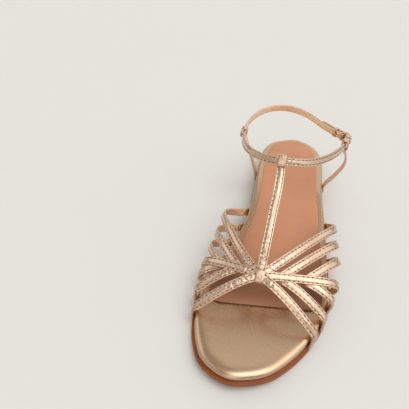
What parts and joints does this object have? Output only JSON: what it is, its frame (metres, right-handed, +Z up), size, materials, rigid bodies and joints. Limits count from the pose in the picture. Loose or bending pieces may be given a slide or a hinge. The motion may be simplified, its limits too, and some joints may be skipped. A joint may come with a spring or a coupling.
{
  "type": "strappy sandal",
  "caption": "Flat open-toe sandal with a fan of narrow straps joined at a knot, a T-strap, and a buckled ankle strap held by upright stays at the heel.",
  "frame": {"origin": "centre of the shoe's box in plan, at the floor under the sole", "axes": "+Y from the toe to the heel, +X to the outer (lateral) side of the left foot, +Z up"},
  "size_m": [0.0948, 0.25, 0.0779],
  "materials": {
    "tan_leather": "burnished tan sole leather",
    "metallic_leather": "champagne metallic foil leather, satin",
    "sock_leather": "matte pink-tan leather",
    "buckle_metal": "polished light-gold plate"
  },
  "bodies": {
    "root": {"outsole": "tan_leather", "heel_block": "tan_leather", "footbed": "metallic_leather", "sock_lining": "sock_leather", "upper_straps": "metallic_leather", "ankle_strap": "metallic_leather", "stay_medial": "metallic_leather", "stay_lateral": "metallic_leather", "buckle_frame": "buckle_metal", "buckle_prong": "buckle_metal", "buckle_keeper": "metallic_leather"}
  },
  "joints": []
}
